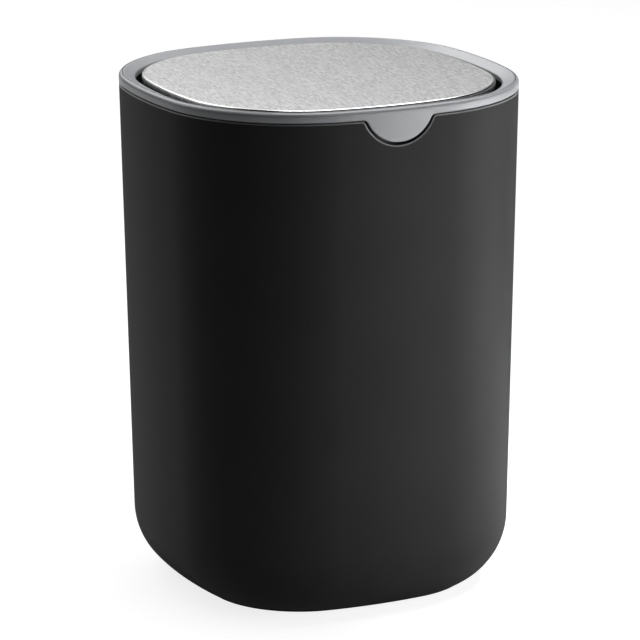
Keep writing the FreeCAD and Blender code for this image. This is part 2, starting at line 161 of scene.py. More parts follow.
def plan_wrapping():
    """Node tree that bends a flat layout of turn, inset and height round the rounded square plan."""
    tree = bpy.data.node_groups.new("wrap_round_plan", "GeometryNodeTree")
    kinds = (
        ("Layout", "NodeSocketGeometry"),
        ("Half width", "NodeSocketFloat"),
        ("Corner radius", "NodeSocketFloat"),
        ("Side radius", "NodeSocketFloat"),
        ("Sharpest smooth angle", "NodeSocketFloat"),
        ("Finish", "NodeSocketMaterial"),
    )
    for label, kind in kinds:
        tree.interface.new_socket(label, in_out="INPUT", socket_type=kind)
    tree.interface.new_socket("Piece", in_out="OUTPUT", socket_type="NodeSocketGeometry")
    given = tree.nodes.new("NodeGroupInput").outputs

    def sums(operation, first, second=0.0):
        return joined_node(tree, "ShaderNodeMath", {0: first, 1: second}, operation=operation).outputs[0]

    beyond = sums("SUBTRACT", given["Side radius"], given["Half width"])
    between = sums("SUBTRACT", given["Side radius"], given["Corner radius"])
    squares = sums("MULTIPLY", sums("MULTIPLY", between, between), 2.0)
    root = sums("SQRT", sums("SUBTRACT", squares, sums("MULTIPLY", beyond, beyond)))
    offset = sums("MULTIPLY", sums("SUBTRACT", root, beyond), 0.5)
    corner_middle = sums("ADD", offset, beyond)
    side_half = sums("ARCTAN2", offset, corner_middle)

    position = tree.nodes.new("GeometryNodeInputPosition").outputs[0]
    turn, inset, height = joined_node(tree, "ShaderNodeSeparateXYZ", {0: position}).outputs
    quarter = math.pi / 2
    middle = sums("MULTIPLY", sums("ROUND", sums("DIVIDE", turn, quarter)), quarter)
    swing = sums("SUBTRACT", turn, middle)
    on_corner = sums("GREATER_THAN", sums("ABSOLUTE", swing), side_half)
    radius = sums("SUBTRACT", given["Side radius"], sums("MULTIPLY", on_corner, between))
    reach = sums("SUBTRACT", radius, inset)
    centre_out = sums("SUBTRACT", sums("MULTIPLY", on_corner, corner_middle), beyond)
    centre_across = sums("MULTIPLY", sums("MULTIPLY", on_corner, offset), sums("SIGN", swing))
    out = sums("ADD", centre_out, sums("MULTIPLY", reach, sums("COSINE", swing)))
    across = sums("ADD", centre_across, sums("MULTIPLY", reach, sums("SINE", swing)))
    cosine = sums("COSINE", middle)
    sine = sums("SINE", middle)
    x = sums("SUBTRACT", sums("MULTIPLY", out, cosine), sums("MULTIPLY", across, sine))
    y = sums("ADD", sums("MULTIPLY", out, sine), sums("MULTIPLY", across, cosine))
    place = joined_node(tree, "ShaderNodeCombineXYZ", {0: x, 1: y, 2: height}).outputs[0]
    bent = joined_node(tree, "GeometryNodeSetPosition", {"Geometry": given["Layout"], "Position": place})
    smooth = joined_node(tree, "GeometryNodeSetShadeSmooth", {"Geometry": bent.outputs[0]}, domain="FACE")
    angle = tree.nodes.new("GeometryNodeInputMeshEdgeAngle").outputs[0]
    sharp = sums("GREATER_THAN", angle, given["Sharpest smooth angle"])
    creased = joined_node(
        tree, "GeometryNodeSetShadeSmooth",
        {"Geometry": smooth.outputs[0], "Selection": sharp, "Shade Smooth": False}, domain="EDGE",
    )
    real = joined_node(tree, "GeometryNodeRealizeInstances", {0: creased.outputs[0]})
    dressed = joined_node(tree, "GeometryNodeSetMaterial", {
        "Geometry": real.outputs[0], "Material": given["Finish"],
    })
    joined_node(tree, "NodeGroupOutput", {0: dressed.outputs[0]})
    return tree


plan_tree = plan_wrapping()


def made_plain(piece):
    """The piece as its nodes leave it, as a plain mesh with its faces outwards and no modifier."""
    evaluated = piece.evaluated_get(bpy.context.evaluated_depsgraph_get())
    plain = bpy.data.meshes.new_from_object(evaluated)
    layout = piece.data
    piece.modifiers.clear()
    piece.data = plain
    bpy.data.meshes.remove(layout)
    cleaned = bmesh.new()
    cleaned.from_mesh(plain)
    bmesh.ops.recalc_face_normals(cleaned, faces=cleaned.faces)
    cleaned.to_mesh(plain)
    cleaned.free()
    return piece


def wrapped(name, rows, finish, poles=False, rubbed_and_highlit=()):
    """A closed piece from rows that run up its outside and down its inside, wrapped round the plan.

    The last row meets the first one, or with poles each end closes on a point in the middle.
    The rows given are marked for the finish, which makes them glossier: smoother on the lid, and with a
    painted highlight on the shell."""
    across = len(rows[0])
    points = [(turn, inset * MM, height * MM) for row in rows for turn, inset, height in row]
    faces = []
    for low in range(len(rows) - 1 if poles else len(rows)):
        high = (low + 1) % len(rows)
        for here in range(across):
            beside = (here + 1) % across
            corners = ((low, here), (low, beside), (high, beside), (high, here))
            faces.append([row * across + column for row, column in corners])
    if poles:
        last = (len(rows) - 1) * across
        for end, (first, height) in enumerate(((0, rows[0][0][2]), (last, rows[-1][0][2]))):
            points.append((FRONT, HALF_WIDTH * MM, height * MM))
            for here in range(across):
                pair = [first + here, first + (here + 1) % across]
                faces.append((pair if end else pair[::-1]) + [len(points) - 1])
    mesh = bpy.data.meshes.new(name)
    mesh.from_pydata(points, [], faces)
    rub = mesh.attributes.new("rubbed_and_highlit", "FLOAT", "POINT")
    for row in rubbed_and_highlit:
        for column in range(across):
            rub.data[row * across + column].value = 1.0
    piece = bpy.data.objects.new(name, mesh)
    bpy.context.scene.collection.objects.link(piece)
    bend = piece.modifiers.new("wrap", "NODES")
    bend.node_group = plan_tree
    values = {
        "Half width": HALF_WIDTH * MM,
        "Corner radius": CORNER_RADIUS * MM,
        "Side radius": SIDE_RADIUS * MM,
        "Sharpest smooth angle": SHARPEST_SMOOTH,
        "Finish": finish,
    }
    for socket in plan_tree.interface.items_tree:
        if socket.name in values:
            bend[socket.identifier] = values[socket.name]
    return made_plain(piece)


def blank_finish(name):
    """An empty material with its shader and its Object coordinates."""
    finish = bpy.data.materials.new(name)
    finish.use_nodes = True
    shader = finish.node_tree.nodes["Principled BSDF"]
    place = finish.node_tree.nodes.new("ShaderNodeTexCoord").outputs["Object"]
    return finish, finish.node_tree, shader, place


def colour_stops(tree, amount, stops):
    """A ramp from one colour to the next, at the amounts given."""
    ramp = joined_node(tree, "ShaderNodeValToRGB", {0: amount})
    elements = ramp.color_ramp.elements
    for index, (at, colour) in enumerate(stops):
        element = elements[index] if index < len(elements) else elements.new(at)
        element.position = at
        element.color = (*colour, 1.0)
    return ramp.outputs["Color"]


def moulded_plastic(name, dark, light, roughness, sheen, grain, depth):
    """Moulded plastic: a colour that drifts a little, over the fine sparked grain of its mould."""
    finish, tree, shader, place = blank_finish(name)
    shader.inputs["Specular IOR Level"].default_value = sheen
    drift = joined_node(tree, "ShaderNodeTexNoise", {"Vector": place, "Scale": 22.0, "Detail": 4.0})
    base = colour_stops(tree, drift.outputs[0], ((0.32, dark), (0.68, light)))
    tree.links.new(base, shader.inputs["Base Color"])
    spark = joined_node(tree, "ShaderNodeTexNoise", {"Vector": place, "Scale": grain, "Detail": 3.0})
    gloss = joined_node(tree, "ShaderNodeMapRange", {
        "Value": spark.outputs[0], "From Min": 0.3, "From Max": 0.7,
        "To Min": roughness[0], "To Max": roughness[1],
    })
    tree.links.new(gloss.outputs[0], shader.inputs["Roughness"])
    bump = joined_node(tree, "ShaderNodeBump", {
        "Height": spark.outputs[0], "Strength": 0.5, "Distance": depth,
    })
    tree.links.new(bump.outputs[0], shader.inputs["Normal"])
    return finish


# The wall loses its sheen at a low angle, and the round of its top edge is glossier and painted paler, a
# painted highlight.
SHELL_SHEEN = 0.035
SHELL_GRAZING_SHEEN = 0.003
SHELL_EDGE_SHEEN = 0.5
SHELL_EDGE_PAINTED_HIGHLIGHT = (0.21, 0.21, 0.214, 1.0)
MIX_FROM, MIX_TO, MIX_RESULT = 6, 7, 2
shell_black = moulded_plastic(
    "shell_black", dark=(0.0226, 0.0226, 0.0230), light=(0.0258, 0.0258, 0.0262),
    roughness=(0.36, 0.44), sheen=SHELL_SHEEN, grain=2600.0, depth=0.00012,
)
shell_tree = shell_black.node_tree
grazing = joined_node(shell_tree, "ShaderNodeLayerWeight", {"Blend": 0.5})
wall_sheen = joined_node(shell_tree, "ShaderNodeMapRange", {
    "Value": grazing.outputs["Facing"], "From Min": 0.4, "From Max": 0.85,
    "To Min": SHELL_SHEEN, "To Max": SHELL_GRAZING_SHEEN,
})
rub_and_highlight_mark = joined_node(shell_tree, "ShaderNodeAttribute", {}, attribute_name="rubbed_and_highlit")
edge_sheen = joined_node(shell_tree, "ShaderNodeMapRange", {
    "Value": rub_and_highlight_mark.outputs["Fac"], "To Min": wall_sheen.outputs[0], "To Max": SHELL_EDGE_SHEEN,
})
shell_shader = shell_tree.nodes["Principled BSDF"]
shell_tree.links.new(edge_sheen.outputs[0], shell_shader.inputs["Specular IOR Level"])
wall_tone = shell_shader.inputs["Base Color"].links[0].from_socket
# Painted highlight: the round of the top edge is painted pale grey in place of the light it catches under the
# rim, and its sheen is raised too.
painted_edge_highlight = joined_node(shell_tree, "ShaderNodeMix", {
    "Factor": rub_and_highlight_mark.outputs["Fac"], MIX_FROM: wall_tone, MIX_TO: SHELL_EDGE_PAINTED_HIGHLIGHT,
}, data_type="RGBA")
shell_tree.links.new(painted_edge_highlight.outputs[MIX_RESULT], shell_shader.inputs["Base Color"])
notch = tab_outline(NOTCH_RADIUS, NOTCH_CENTRE, SHELL_TOP, NOTCH_FILLET)
shell_columns = edge_columns(notch, SHELL_TOP)
outside = edge_row(shell_columns, CALM_DEPTH, skin)
inside = edge_row(shell_columns, CALM_DEPTH, inner_wall)
outer_base = base_arc(BASE_RADIUS, BASE_STEPS)
inner_base = base_arc(BASE_RADIUS - WALL, BASE_STEPS)
foot_inner = FOOT_OUTER + FOOT_WIDTH
shell_rows = level_rows(shell_columns, [(inset, FOOT_HEIGHT) for inset in reversed(MIDDLE_INSETS)])
shell_rows += level_rows(shell_columns, [
    (foot_inner, FOOT_HEIGHT), (foot_inner, FOOT_TOP), (FOOT_OUTER, FOOT_TOP), (FOOT_OUTER, FOOT_HEIGHT),
])
shell_rows += level_rows(shell_columns, reversed(outer_base))
shell_rows += level_rows(shell_columns, [(skin(level), level) for level in reversed(WALL_LEVELS)])
shell_rows += [calmed(outside, shell_columns, CALM_LEVEL, share, skin) for share in reversed(CALM_SHARES)]
edge_start = len(shell_rows)
for step in range(EDGE_STEPS + 1):
    turn = math.pi / 2 * step / EDGE_STEPS
    depth = SHELL_OUTER_EDGE * (1 - math.sin(turn))
    shell_rows.append(edge_row(shell_columns, depth, skin, SHELL_OUTER_EDGE * (1 - math.cos(turn))))
for step in range(EDGE_STEPS + 1):
    turn = math.pi / 2 * step / EDGE_STEPS
    depth = SHELL_INNER_EDGE * (1 - math.cos(turn))
    shell_rows.append(edge_row(shell_columns, depth, inner_wall, SHELL_INNER_EDGE * (math.sin(turn) - 1)))
shell_rows += [calmed(inside, shell_columns, CALM_LEVEL, share, inner_wall) for share in CALM_SHARES]
shell_rows += level_rows(shell_columns, [(inner_wall(level), level) for level in WALL_LEVELS])
shell_rows += level_rows(shell_columns, inner_base)
shell_rows += level_rows(shell_columns, [(inset, inner_base[-1][1]) for inset in MIDDLE_INSETS])
edge_rows = range(edge_start + 1, edge_start + EDGE_STEPS - 1)
moulded_shell = wrapped("moulded_shell", shell_rows, shell_black, poles=True, rubbed_and_highlit=edge_rows)
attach(moulded_shell, "bin_body")
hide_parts("body_shell")

# Foot ring: a strip of soft black rubber under the edge of the floor, so that the bin stands still.
# It is moulded to the shape of the plan, and it is pressed into the groove in the underside of the shell.
FOOT_EDGE = 0.3
EVEN_TURNS = 360


def even_columns(count=EVEN_TURNS):
    """Columns at even turns round the whole plan."""
    return [(None, 0.0, 0.0, FRONT + 2 * math.pi * index / count) for index in range(count)]


def rounded(corners, steps=4, hold=0.4):
    """A closed profile of corners, each an inset, a height and a rounding, as insets and heights."""
    points = []
    for index, (inset, height, rounding) in enumerate(corners):
        corner = Vector((inset, height))
        if rounding == 0:
            points.append((inset, height))
            continue
        before = Vector(corners[index - 1][:2]) - corner
        after = Vector(corners[(index + 1) % len(corners)][:2]) - corner
        half = before.angle(after) / 2
        reach = rounding / math.tan(half)
        inwards = (before.normalized() + after.normalized()).normalized()
        middle = corner + inwards * rounding / math.sin(half)
        start = corner + before.normalized() * reach - middle
        sweep = start.angle_signed(corner + after.normalized() * reach - middle)
        if before.length > reach + 2 * hold * rounding:
            points.append(tuple(corner + before.normalized() * (reach + hold * rounding)))
        for step in range(steps + 1):
            turned = start.copy()
            turned.rotate(Matrix.Rotation(-sweep * step / steps, 2))
            points.append(tuple(middle + turned))
        if after.length > reach + 2 * hold * rounding:
            points.append(tuple(corner + after.normalized() * (reach + hold * rounding)))
    return points


foot_rubber = moulded_plastic(
    "foot_rubber", dark=(0.012, 0.012, 0.012), light=(0.02, 0.02, 0.02),
    roughness=(0.7, 0.85), sheen=0.2, grain=1800.0, depth=0.0002,
)
foot_profile = rounded([
    (FOOT_OUTER, 0.0, FOOT_EDGE),
    (FOOT_OUTER, FOOT_TOP, 0.0),
    (foot_inner, FOOT_TOP, 0.0),
    (foot_inner, 0.0, FOOT_EDGE),
])
foot_strip = wrapped("foot_strip", level_rows(even_columns(), foot_profile), foot_rubber)
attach(foot_strip, "bin_body")
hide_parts("foot_ring")

# Rim ring: the grey frame round the mouth, satin plastic, injection moulded in one piece with its finger tab.
# Its top is dished inside a raised crest. It sits on the shell's edge, with a thin shadow gap below it.
RIM_LOW = 227.85
RIM_WIDTH = 7.5
RIM_CREST = 2.6
RIM_CREST_EDGE = 1.8
RIM_DISH = 2.15
RIM_INNER_EDGE = 0.8
RIM_LIP_LOW = 227.5
RIM_LIP_EDGE = 0.4
RIM_CHANNEL_TOP = 229.4
RIM_CHANNEL_OUTER = 3.39
RIM_CHANNEL_INNER = 5.39
RIM_SEAT_INSET = 1.3
RIM_LOWER_EDGE = 0.35
RIM_CALM_LEVEL = 229.0
RIM_CALM_SHARES = (0.0, 0.1, 0.25, 0.45, 0.7, 1.0)
TAB_RADIUS = 16.8
TAB_CENTRE = 233.55
TAB_FILLET = 3.2
rim_grey = moulded_plastic(
    "rim_grey", dark=(0.221, 0.229, 0.241), light=(0.233, 0.241, 0.253),
    roughness=(0.34, 0.40), sheen=0.54, grain=2600.0, depth=0.00006,
)
rim_columns = edge_columns(tab_outline(TAB_RADIUS, TAB_CENTRE, RIM_LOW, TAB_FILLET), RIM_LOW)
rim_rows = []
for step in range(EDGE_STEPS + 1):
    turn = math.pi / 2 * step / EDGE_STEPS
    depth = RIM_LOWER_EDGE * (math.cos(turn) - 1)
    rim_rows.append(edge_row(rim_columns, depth, skin, RIM_LOWER_EDGE * (1 - math.sin(turn))))
tab_face = edge_row(rim_columns, -2 * RIM_LOWER_EDGE, skin)
rim_rows += [calmed(tab_face, rim_columns, RIM_CALM_LEVEL, share, skin) for share in RIM_CALM_SHARES]
rim_profile = rounded([
    (skin(RIM_CALM_LEVEL), RIM_CALM_LEVEL, 0.0),
    (0.0, HEIGHT, RIM_CREST_EDGE),
    (RIM_CREST, HEIGHT, RIM_CREST_EDGE),
    (RIM_WIDTH, HEIGHT - RIM_DISH, RIM_INNER_EDGE),
    (RIM_WIDTH, RIM_LIP_LOW, RIM_LIP_EDGE),
    (RIM_CHANNEL_INNER, RIM_LIP_LOW, 0.0),
    (RIM_CHANNEL_INNER, RIM_CHANNEL_TOP, 0.0),
    (RIM_CHANNEL_OUTER, RIM_CHANNEL_TOP, 0.0),
    (RIM_CHANNEL_OUTER, SHELL_TOP, 0.0),
], steps=6)
rim_rows += level_rows(rim_columns, rim_profile[1:])
for level in (SHELL_TOP, None):
    row = []
    for x, height, lean, turn in rim_columns:
        behind_tab = height < SHELL_TOP
        here = height if level is None else level
        inset = inner_wall(here) if behind_tab else RIM_SEAT_INSET
        if x is not None:
            turn = FRONT + math.asin(x / (SIDE_RADIUS - inset))
        row.append((turn, inset, here))
    rim_rows.append(row)
rim_moulding = wrapped("rim_moulding", rim_rows, rim_grey)
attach(rim_moulding, "rim")
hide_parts("rim_ring")

# Bag collar: the inner skirt that holds the edge of a bag, black plastic, moulded with half of each bearing.
# It is glued into the channel under the rim ring, and it hangs inside the shell.
collar_black = moulded_plastic(
    "collar_black", dark=(0.018, 0.018, 0.0185), light=(0.024, 0.024, 0.0245),
    roughness=(0.5, 0.62), sheen=0.3, grain=1500.0, depth=0.00015,
)


def refinished(node, finish):
    """A piece of the frame whose shape is right gets its own finish."""
    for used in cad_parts[node].material_slots:
        used.material = finish


refinished("bag_collar", collar_black)

# Grip band: a band of soft rubber that pinches the bag between the collar and the shell.
# It is moulded with three fine ribs, and it is stretched into the groove round the collar.
BAND_LOW = 202.85
BAND_HIGH = 206.85
BAND_PROUD = 0.35
BAND_GROOVE = 0.8
BAND_VALLEY = 0.3
BAND_RIBS = 3
BAND_RIB_STEPS = 8
COLLAR_CLEARANCE = 0.7


def collar_outer(height):
    """Inset of the outside of the collar wall."""
    return inner_wall(height) + COLLAR_CLEARANCE


band_profile = []
for step in range(BAND_RIBS * BAND_RIB_STEPS + 1):
    share = step / (BAND_RIBS * BAND_RIB_STEPS)
    height = BAND_LOW + (BAND_HIGH - BAND_LOW) * share
    valley = BAND_VALLEY * (1 - abs(math.sin(math.pi * BAND_RIBS * share)))
    band_profile.append((collar_outer(height) - BAND_PROUD + valley, height))
band_profile += [(collar_outer(height) + BAND_GROOVE, height) for height in (BAND_HIGH, BAND_LOW)]
bag_band = wrapped("bag_band", level_rows(even_columns(), band_profile), foot_rubber)
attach(bag_band, "rim")
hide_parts("grip_band")

# Bearings: each is half a block on the collar and half a cap of the same black plastic, closed round a bush.
# The bushes are turned from black acetal, so that the steel pins run dry in them.
refinished("bearing_cap_right", collar_black)
refinished("bearing_cap_left", collar_black)
bush_acetal = moulded_plastic(
    "bush_acetal", dark=(0.026, 0.026, 0.028), light=(0.034, 0.034, 0.036),
    roughness=(0.26, 0.34), sheen=0.5, grain=900.0, depth=0.00005,
)
refinished("pivot_bush_right", bush_acetal)
refinished("pivot_bush_left", bush_acetal)

# Cap screws: two small pan heads hold each bearing cap up against the collar.
# They are zinc plated steel with a cross recess, and they are driven from below.
CAP_SCREW_SPACING = (154.3, 12.8)
CAP_SCREW_SEAT = 217.6
CAP_SCREW = {"radius": 0.9, "length": 8.4, "head_radius": 1.5, "head": 1.1}
HEAD_ROUND_SHARE = 0.45
HEAD_ROUND_STEPS = 5
HEAD_UNDER_EDGE = 0.05
TIP_SHARES = (0.6, 0.5)
RECESS_SHARES = (1.2, 0.3, 0.6)
SCREW_SIDES = 32


def screw_pattern():
    """Node tree that sets one screw at each corner of a level oblong, or at the ends of a line."""
    tree = bpy.data.node_groups.new("seated_screws", "GeometryNodeTree")
    kinds = (
        ("Screw", "NodeSocketGeometry"),
        ("Spacing along X", "NodeSocketFloat"),
        ("Spacing along Y", "NodeSocketFloat"),
        ("Seat", "NodeSocketFloat"),
        ("Finish", "NodeSocketMaterial"),
    )
    for label, kind in kinds:
        tree.interface.new_socket(label, in_out="INPUT", socket_type=kind)
    tree.interface.new_socket("Screws", in_out="OUTPUT", socket_type="NodeSocketGeometry")
    given = tree.nodes.new("NodeGroupInput").outputs
    oblong = joined_node(tree, "GeometryNodeMeshGrid", {
        "Size X": given["Spacing along X"], "Size Y": given["Spacing along Y"],
        "Vertices X": 2, "Vertices Y": 2,
    })
    single = joined_node(tree, "GeometryNodeMergeByDistance", {0: oblong.outputs["Mesh"]})
    rise = joined_node(tree, "ShaderNodeCombineXYZ", {2: given["Seat"]})
    seats = joined_node(tree, "GeometryNodeSetPosition", {0: single.outputs[0], "Offset": rise.outputs[0]})
    driven = joined_node(tree, "GeometryNodeInstanceOnPoints", {
        "Points": seats.outputs[0], "Instance": given["Screw"],
    })
    real = joined_node(tree, "GeometryNodeRealizeInstances", {0: driven.outputs[0]})
    dressed = joined_node(tree, "GeometryNodeSetMaterial", {
        "Geometry": real.outputs[0], "Material": given["Finish"],
    })
    joined_node(tree, "NodeGroupOutput", {0: dressed.outputs[0]})
    return tree


screw_tree = screw_pattern()


def turned_mesh(name, profile):
    """A mesh turned about Z from radii and heights, which run from the lower pole to the upper one."""
    shape = bmesh.new()
    rings = []
    for radius, height in profile:
        if radius == 0:
            rings.append([shape.verts.new((0.0, 0.0, height * MM))])
            continue
        ring = []
        for side in range(SCREW_SIDES):
            angle = 2 * math.pi * side / SCREW_SIDES
            place = (radius * MM * math.cos(angle), radius * MM * math.sin(angle), height * MM)
            ring.append(shape.verts.new(place))
        rings.append(ring)
    for low, high in zip(rings, rings[1:]):
        for side in range(SCREW_SIDES):
            beside = (side + 1) % SCREW_SIDES
            corners = [
                low[side % len(low)], low[beside % len(low)],
                high[beside % len(high)], high[side % len(high)],
            ]
            shape.faces.new(list(dict.fromkeys(corners))).smooth = True
    mesh = bpy.data.meshes.new(name)
    bmesh.ops.recalc_face_normals(shape, faces=shape.faces)
    shape.to_mesh(mesh)
    shape.free()
    return mesh


def seated_screws(name, spacing, seat, finish, radius, length, head_radius, head):
    """Pan head screws that point up from their seat, each with a cross recess cut into its head."""
    round_off = head * HEAD_ROUND_SHARE
    profile = [(0.0, -head), (head_radius - 2 * round_off, -head)]
    for step in range(1, HEAD_ROUND_STEPS + 1):
        angle = math.pi / 2 * step / HEAD_ROUND_STEPS
        out = head_radius - 2 * round_off * (1 - math.sin(angle))
        profile.append((out, -head + round_off * (1 - math.cos(angle))))
    tip_long, tip_wide = TIP_SHARES
    profile += [(head_radius, -HEAD_UNDER_EDGE), (head_radius - HEAD_UNDER_EDGE, 0.0), (radius, 0.0)]
    profile += [(radius, length - radius * tip_long), (radius * tip_wide, length), (0.0, length)]
    piece = bpy.data.objects.new(name, turned_mesh(name, profile))
    bpy.context.scene.collection.objects.link(piece)
    long_share, short_share, depth_share = RECESS_SHARES
    cross = bmesh.new()
    for along, across in ((long_share, short_share), (short_share, long_share)):
        made = bmesh.ops.create_cube(cross, size=1.0)["verts"]
        groove = (head_radius * along * MM, head_radius * across * MM, 2 * head * depth_share * MM)
        bmesh.ops.scale(cross, vec=groove, verts=made)
        bmesh.ops.translate(cross, vec=(0.0, 0.0, -head * MM), verts=made)
    recess_mesh = bpy.data.meshes.new("recess")
    cross.to_mesh(recess_mesh)
    cross.free()
    recess = bpy.data.objects.new("recess", recess_mesh)
    bpy.context.scene.collection.objects.link(recess)
    cut = piece.modifiers.new("recess", "BOOLEAN")
    cut.operation = "DIFFERENCE"
    cut.solver = "EXACT"
    cut.use_self = True
    cut.object = recess
    repeat = piece.modifiers.new("seats", "NODES")
    repeat.node_group = screw_tree
    values = {
        "Spacing along X": spacing[0] * MM,
        "Spacing along Y": spacing[1] * MM,
        "Seat": seat * MM,
        "Finish": finish,
    }
    for socket in screw_tree.interface.items_tree:
        if socket.name in values:
            repeat[socket.identifier] = values[socket.name]
    made_plain(piece)
    bpy.data.objects.remove(recess)
    bpy.data.meshes.remove(recess_mesh)
    return piece


def plated_steel(name, dark, light, roughness, cloud):
    """Steel with a thin dull coat: cloudy patches in colour and gloss, over fine scratches."""
    finish, tree, shader, place = blank_finish(name)
    shader.inputs["Metallic"].default_value = 1.0
    clouds = joined_node(tree, "ShaderNodeTexNoise", {
        "Vector": place, "Scale": cloud, "Detail": 6.0, "Roughness": 0.6,
    })
    base = colour_stops(tree, clouds.outputs[0], ((0.3, dark), (0.7, light)))
    tree.links.new(base, shader.inputs["Base Color"])
    gloss = joined_node(tree, "ShaderNodeMapRange", {
        "Value": clouds.outputs[0], "From Min": 0.3, "From Max": 0.7,
        "To Min": roughness[0], "To Max": roughness[1],
    })
    tree.links.new(gloss.outputs[0], shader.inputs["Roughness"])
    fine = joined_node(tree, "ShaderNodeTexNoise", {"Vector": place, "Scale": cloud * 12.0, "Detail": 2.0})
    bump = joined_node(tree, "ShaderNodeBump", {
        "Height": fine.outputs[0], "Strength": 0.3, "Distance": 0.00004,
    })
    tree.links.new(bump.outputs[0], shader.inputs["Normal"])
    return finish


zinc_plate = plated_steel(
    "zinc_plate", dark=(0.50, 0.51, 0.53), light=(0.66, 0.67, 0.69), roughness=(0.42, 0.28), cloud=260.0,
)
cap_screws = seated_screws("cap_screws", CAP_SCREW_SPACING, CAP_SCREW_SEAT, zinc_plate, **CAP_SCREW)
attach(cap_screws, "rim")
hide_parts("bearing_screws")

# Lid bumpers: two soft rubber caps, pushed over the stop lugs at the foot of the collar.
# The skirt of the lid's carrier comes down on them at the end of its swing.
refinished("lid_bumper_right", foot_rubber)
refinished("lid_bumper_left", foot_rubber)

# Lid carrier: the dark grey tray under the lid plate, moulded with its skirt, ribs, pin bosses and posts.
# It carries the plate above it and the counterweight below it.
carrier_grey = moulded_plastic(
    "carrier_grey", dark=(0.045, 0.046, 0.048), light=(0.06, 0.061, 0.063),
    roughness=(0.42, 0.52), sheen=0.4, grain=1500.0, depth=0.0001,
)
refinished("lid_carrier", carrier_grey)

# Pivot pins: two short rods of steel, ground smooth all round, on which the lid swings.
# Each is pressed into a boss of the carrier, and its free end turns in a bush.
pin_steel = plated_steel(
    "pin_steel", dark=(0.56, 0.56, 0.56), light=(0.66, 0.66, 0.65), roughness=(0.24, 0.16), cloud=420.0,
)
refinished("pivot_pin_right", pin_steel)
refinished("pivot_pin_left", pin_steel)

# Bonding pad: a thin sheet of black foam with glue on both faces, die cut to the shape of the lid.
# It holds the lid plate down on the carrier, and it keeps the thin steel from ringing.
foam_black = moulded_plastic(
    "foam_black", dark=(0.025, 0.025, 0.025), light=(0.036, 0.036, 0.036),
    roughness=(0.8, 0.95), sheen=0.2, grain=2200.0, depth=0.0002,
)
refinished("plate_bonding_pad", foam_black)

# Lid plate: a shallow pan of brushed stainless sheet, pressed with a small round along its edge.
# The grain of the brushing runs from front to back, and the edge is rubbed smoother.
# It is bonded to the carrier below it.
LID_TOP = 231.2
LID_INSET = 10.5
LID_SHEET = 0.6
LID_FLANGE = 2.4
LID_EDGE = 1.0
LID_EDGE_STEPS = 6
LID_INNER_EDGE = 0.4
LID_MIDDLE_INSETS = (16.0, 28.0, 44.0, 60.0)
STROKES = (2200.0, 270.0, 270.0)
DARK_STROKE = {"brushed": 0.31, "rubbed_and_highlit": 0.52}
LIGHT_STROKE = {"brushed": 0.71, "rubbed_and_highlit": 0.58}
DULL_STROKE = {"brushed": 0.4, "rubbed_and_highlit": 0.26}
GLOSSY_STROKE = {"brushed": 0.3, "rubbed_and_highlit": 0.22}
STROKE_RELIEF = {"brushed": 0.4, "rubbed_and_highlit": 0.02}


def brushed_steel(name):
    """Stainless sheet brushed along Y: short strokes in brightness, gloss and relief.

    They are fainter where the sheet is rubbed."""
    finish, tree, shader, place = blank_finish(name)
    shader.inputs["Metallic"].default_value = 1.0
    strokes = joined_node(tree, "ShaderNodeMapping", {"Vector": place, "Scale": STROKES})
    fine = joined_node(tree, "ShaderNodeTexNoise", {
        "Vector": strokes.outputs[0], "Scale": 1.0, "Detail": 2.0,
    })
    rub_and_highlight_mark = joined_node(tree, "ShaderNodeAttribute", {}, attribute_name="rubbed_and_highlit")

    def eased(brushed, rubbed_and_highlit):
        eased_value = joined_node(tree, "ShaderNodeMapRange", {
            "Value": rub_and_highlight_mark.outputs["Fac"], "To Min": brushed, "To Max": rubbed_and_highlit,
        })
        return eased_value.outputs[0]

    tone = joined_node(tree, "ShaderNodeMapRange", {
        "Value": fine.outputs[0], "From Min": 0.36, "From Max": 0.64,
        "To Min": eased(**DARK_STROKE), "To Max": eased(**LIGHT_STROKE),
    })
    tree.links.new(tone.outputs[0], shader.inputs["Base Color"])
    gloss = joined_node(tree, "ShaderNodeMapRange", {
        "Value": fine.outputs[0], "From Min": 0.3, "From Max": 0.7,
        "To Min": eased(**DULL_STROKE), "To Max": eased(**GLOSSY_STROKE),
    })
    tree.links.new(gloss.outputs[0], shader.inputs["Roughness"])
    bump = joined_node(tree, "ShaderNodeBump", {
        "Height": fine.outputs[0], "Strength": eased(**STROKE_RELIEF), "Distance": 0.00005,
    })
    tree.links.new(bump.outputs[0], shader.inputs["Normal"])
    return finish


lid_steel = brushed_steel("lid_steel")
lid_under = LID_TOP - LID_SHEET
lid_profile = [(inset, lid_under) for inset in reversed(LID_MIDDLE_INSETS)]
lid_edge = rounded([
    (LID_MIDDLE_INSETS[0], lid_under, 0.0),
    (LID_INSET + LID_SHEET, lid_under, LID_INNER_EDGE),
    (LID_INSET + LID_SHEET, LID_TOP - LID_FLANGE, 0.0),
    (LID_INSET, LID_TOP - LID_FLANGE, 0.0),
    (LID_INSET, LID_TOP, LID_EDGE),
    (LID_MIDDLE_INSETS[0], LID_TOP, 0.0),
], steps=LID_EDGE_STEPS)
lid_profile += lid_edge[1:-1]
round_rows = range(len(lid_profile) - 1 - LID_EDGE_STEPS, len(lid_profile) - 1)
lid_profile += [(inset, LID_TOP) for inset in LID_MIDDLE_INSETS]
lid_rows = level_rows(even_columns(), lid_profile)
lid_pan = wrapped("lid_pan", lid_rows, lid_steel, poles=True, rubbed_and_highlit=round_rows)
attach(lid_pan, "lid")
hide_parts("lid_plate")

